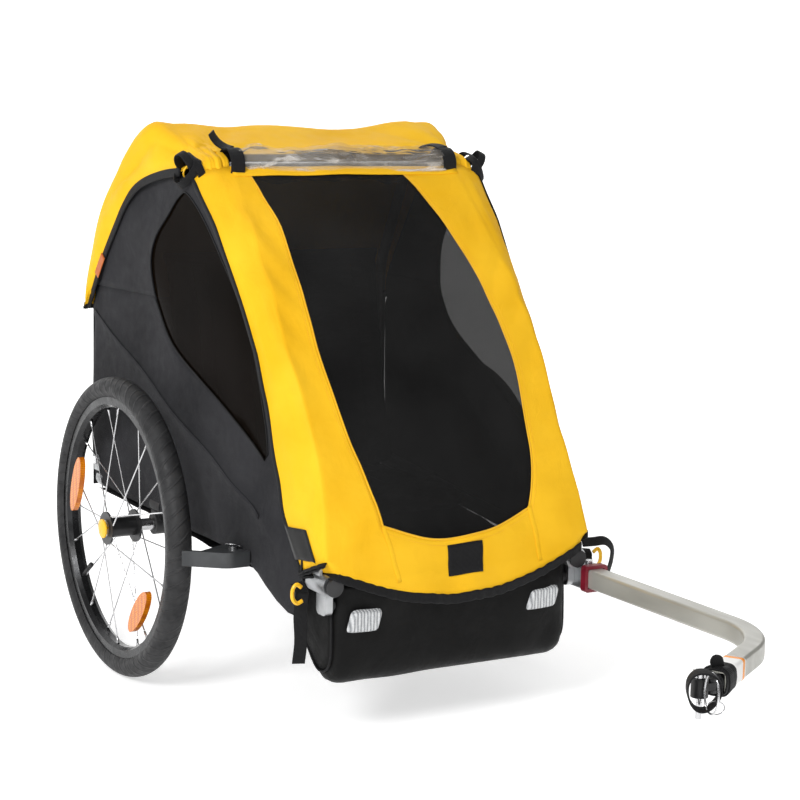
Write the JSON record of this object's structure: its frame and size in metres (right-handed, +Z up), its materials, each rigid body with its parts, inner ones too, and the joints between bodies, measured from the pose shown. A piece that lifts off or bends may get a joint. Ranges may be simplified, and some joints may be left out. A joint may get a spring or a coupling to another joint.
{
  "type": "child bicycle trailer",
  "caption": "Two-seat covered bicycle trailer: folding tube frame, fabric body with mesh front window, spoked wheels and an offset tow bar with a pin hitch.",
  "frame": {"origin": "on the ground, at the middle of the overall length and width; the wheel axle is 439.5 mm behind it", "axes": "+Z up, +Y towards the trailer's rear, so the hitch points to -Y; +X is the tow bar's side"},
  "size_m": [0.732, 1.367, 0.893],
  "materials": {
    "yellow_fabric": "coated woven polyester",
    "dark_fabric": "coated woven polyester",
    "nose_fabric": "heavy coated fabric, smooth",
    "mesh": "open woven mesh",
    "tinted_vinyl": "tinted clear vinyl",
    "clear_vinyl": "clear vinyl",
    "webbing": "ribbed webbing",
    "cushion_fabric": "padded woven fabric",
    "frame_tube": "satin anodised",
    "casting": "blasted casting",
    "black_metal": "satin powder coat",
    "steel": "zinc plated",
    "bar_paint": "satin warm grey",
    "tyre": "moulded tread",
    "rim": "satin black",
    "black_plastic": "moulded",
    "yellow_plastic": "moulded",
    "red_plastic": "moulded",
    "orange_lens": "prismatic",
    "white_lens": "prismatic"
  },
  "bodies": {
    "base": {"wheel_guard_left": "black_metal", "axle_left": "steel", "axle_receiver_left": "black_plastic", "rail_left": "frame_tube", "front_corner_left": "casting", "side_panel_left": "dark_fabric", "side_window_left": "tinted_vinyl", "wheel_guard_right": "black_metal", "axle_right": "steel", "axle_receiver_right": "black_plastic", "rail_right": "frame_tube", "front_corner_right": "casting", "side_panel_right": "dark_fabric", "side_window_right": "tinted_vinyl", "front_cross_tube": "frame_tube", "axle_tube": "frame_tube", "rear_cross_tube": "frame_tube", "rail_plugs": "black_plastic", "flag_socket": "black_plastic", "floor_panel": "black_plastic", "rear_brackets": "casting", "hinge_pins": "steel", "guard_pins": "steel", "hitch_clevis": "steel", "nose_tub": "nose_fabric", "nose_reflectors": "white_lens", "back_panel": "dark_fabric", "seat_cushion": "cushion_fabric", "seat_back": "cushion_fabric", "harness": "webbing", "tow_bar": "bar_paint", "tow_receiver": "black_plastic", "tow_collar": "red_plastic"},
    "left_wheel": {"tyre_left": "tyre", "rim_left": "rim", "hub_left": "black_metal", "bearings_left": "steel", "spokes_left": "steel", "wheel_reflectors_left": "orange_lens"},
    "right_wheel": {"tyre_right": "tyre", "rim_right": "rim", "hub_right": "black_metal", "bearings_right": "steel", "spokes_right": "steel", "wheel_reflectors_right": "orange_lens"},
    "left_button": {"hub_button_left": "yellow_plastic"},
    "right_button": {"hub_button_right": "yellow_plastic"},
    "front_hoop": {"front_legs": "frame_tube", "crossbar": "frame_tube", "corner_fittings": "black_plastic", "window_roll": "clear_vinyl", "roll_straps": "webbing"},
    "cover": {"front_cover": "yellow_fabric", "cover_mesh": "mesh"},
    "rear_hoop": {"rear_hoop_tube": "frame_tube", "hood": "yellow_fabric"},
    "bar_pin": {"tow_pin": "steel"},
    "hitch": {"hitch_block": "black_plastic", "hitch_strap": "webbing"},
    "hitch_pin_body": {"hitch_pin": "steel"}
  },
  "joints": [
    {"name": "left_wheel_spin", "type": "hinge", "parent": "base", "child": "left_wheel", "pos_m": [-0.33, 0.4385, 0.245], "axis": [1, 0, 0], "continuous": true},
    {"name": "right_wheel_spin", "type": "hinge", "parent": "base", "child": "right_wheel", "pos_m": [0.33, 0.4385, 0.245], "axis": [1, 0, 0], "continuous": true},
    {"name": "left_button_push", "type": "slide", "parent": "base", "child": "left_button", "axis": [1, 0, 0], "range_m": [0, 0.003], "stiffness_N_per_m": 600},
    {"name": "right_button_push", "type": "slide", "parent": "base", "child": "right_button", "axis": [-1, 0, 0], "range_m": [0, 0.003], "stiffness_N_per_m": 600},
    {"name": "front_fold", "type": "hinge", "parent": "base", "child": "front_hoop", "pos_m": [0, -0.0465, 0.283], "axis": [-1, 0, 0], "range_deg": [0, 50], "deforming": ["side_panel_left", "side_panel_right", "side_window_left", "side_window_right", "back_panel", "seat_back", "harness", "window_roll"]},
    {"name": "rear_fold", "type": "hinge", "parent": "base", "child": "rear_hoop", "pos_m": [0, 0.6415, 0.318], "axis": [1, 0, 0], "range_deg": [0, 66.68], "deforming": ["hood"]},
    {"name": "cover_lift", "type": "hinge", "parent": "front_hoop", "child": "cover", "pos_m": [0, 0.3365, 0.833], "axis": [-1, 0, 0], "range_deg": [0, 110]},
    {"name": "tow_pin_pull", "type": "slide", "parent": "base", "child": "bar_pin", "axis": [0, 0, 1], "range_m": [0, 0.045]},
    {"name": "hitch_flex", "type": "hinge", "parent": "base", "child": "hitch", "pos_m": [0.03537, -0.62759, 0.216], "axis": [0, 0, 1], "range_deg": [-35, 35], "stiffness_Nm_per_rad": 3},
    {"name": "hitch_pin_pull", "type": "slide", "parent": "hitch", "child": "hitch_pin_body", "axis": [0, 0, 1], "range_m": [0, 0.05]}
  ],
  "couplings": [
    {"joint": "rear_fold", "follows": "front_fold", "ratio": 1.3333}
  ]
}
